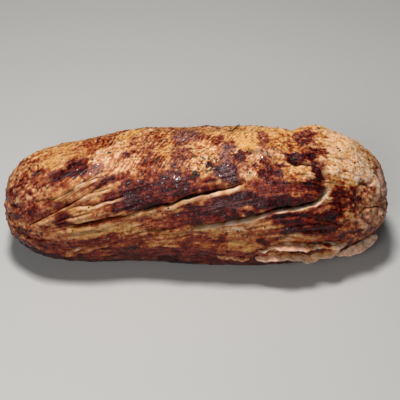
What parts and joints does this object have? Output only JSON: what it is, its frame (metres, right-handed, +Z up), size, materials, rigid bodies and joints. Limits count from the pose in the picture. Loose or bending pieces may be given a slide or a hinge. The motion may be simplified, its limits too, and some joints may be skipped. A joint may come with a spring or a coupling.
{
  "type": "roast beef joint",
  "caption": "Long seared joint of roast beef, loaf shaped, with deep lengthwise folds and a loose flap at one end.",
  "frame": {"origin": "centre of the underside, on the surface that the joint rests on", "axes": "+X along the joint's length, -Y towards the split front, +Z up"},
  "size_m": [0.2599, 0.1012, 0.0822],
  "materials": {
    "browned_beef": "moist seared crust"
  },
  "bodies": {
    "root": {"roast_beef": "browned_beef"}
  },
  "joints": []
}
